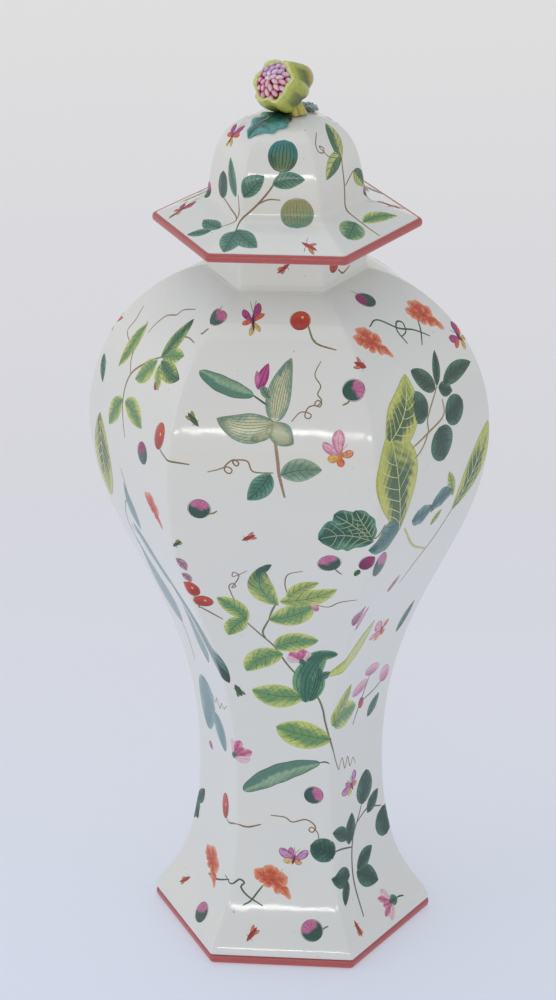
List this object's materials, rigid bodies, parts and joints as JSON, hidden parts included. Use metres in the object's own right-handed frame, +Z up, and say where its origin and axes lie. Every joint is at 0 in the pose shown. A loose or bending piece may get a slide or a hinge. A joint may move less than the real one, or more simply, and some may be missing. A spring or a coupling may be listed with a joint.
{
  "type": "covered jar",
  "caption": "Tall hexagonal glazed porcelain baluster jar with a flared foot, narrow waist, full shoulder and lift-off domed lid with a split-fruit finial, enamelled all over with sprays.",
  "frame": {"origin": "centre of the foot, on the surface the jar stands on", "axes": "+Z up along the jar's axis, -Y out of one flat side"},
  "size_m": [0.234, 0.2036, 0.5471],
  "materials": {
    "jar_glaze": "gloss",
    "lid_glaze": "gloss",
    "red_enamel": "gloss",
    "bare_base": "matte",
    "bare_collar": "matte",
    "rind_enamel": "gloss",
    "seed_enamel": "gloss",
    "leaf_enamel": "gloss"
  },
  "bodies": {
    "jar": {"jar_foot": "jar_glaze", "jar_waist": "jar_glaze", "jar_belly": "jar_glaze", "jar_shoulder": "jar_glaze", "foot_ring": "red_enamel", "jar_floor": "bare_base", "jar_neck": "jar_glaze"},
    "lid": {"lid_brim": "lid_glaze", "lid_band": "red_enamel", "lid_dome": "lid_glaze", "lid_collar": "bare_collar", "finial_rind": "rind_enamel", "finial_seeds": "seed_enamel", "finial_stem": "rind_enamel", "finial_leaf_front": "leaf_enamel", "finial_leaf_back": "leaf_enamel"}
  },
  "joints": [
    {"name": "lid_lift", "type": "slide", "parent": "jar", "child": "lid", "axis": [0, 0, 1], "range_m": [0, 0.12]}
  ]
}
